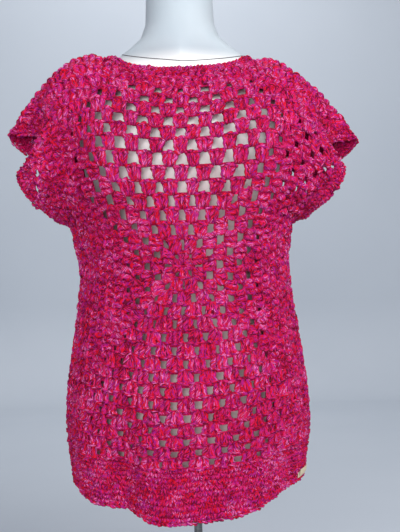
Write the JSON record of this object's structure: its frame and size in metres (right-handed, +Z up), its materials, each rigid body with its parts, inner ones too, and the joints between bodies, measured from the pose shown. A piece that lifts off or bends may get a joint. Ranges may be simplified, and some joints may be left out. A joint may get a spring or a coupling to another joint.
{
  "type": "short-sleeve crochet sweater on a limbless dress form with a stand",
  "caption": "Short-sleeve boat-neck crochet sweater of two granny squares, with open gaps, cap sleeves and a dense hem band, on a limbless dress form with a pole and a round base.",
  "frame": {"origin": "on the floor under the middle of the form's torso, at the underside of the base plate", "axes": "+Z up, the front faces -Y, +X to the right of someone who looks at the front"},
  "size_m": [0.5584, 0.307, 1.028],
  "materials": {
    "yarn": "thick marled yarn in hot pink, red and purple, matte with a soft sheen",
    "ribbon": "plain woven beige ribbon, blank",
    "form": "smooth off-white, satin",
    "steel": "dark grey"
  },
  "bodies": {
    "root": {"front_panel": "yarn", "back_panel": "yarn", "hem_band": "yarn", "neck_band": "yarn", "sleeve_edge_right": "yarn", "sleeve_edge_left": "yarn", "side_label": "ribbon", "form_torso": "form", "pole": "steel", "base_plate": "steel"}
  },
  "joints": []
}
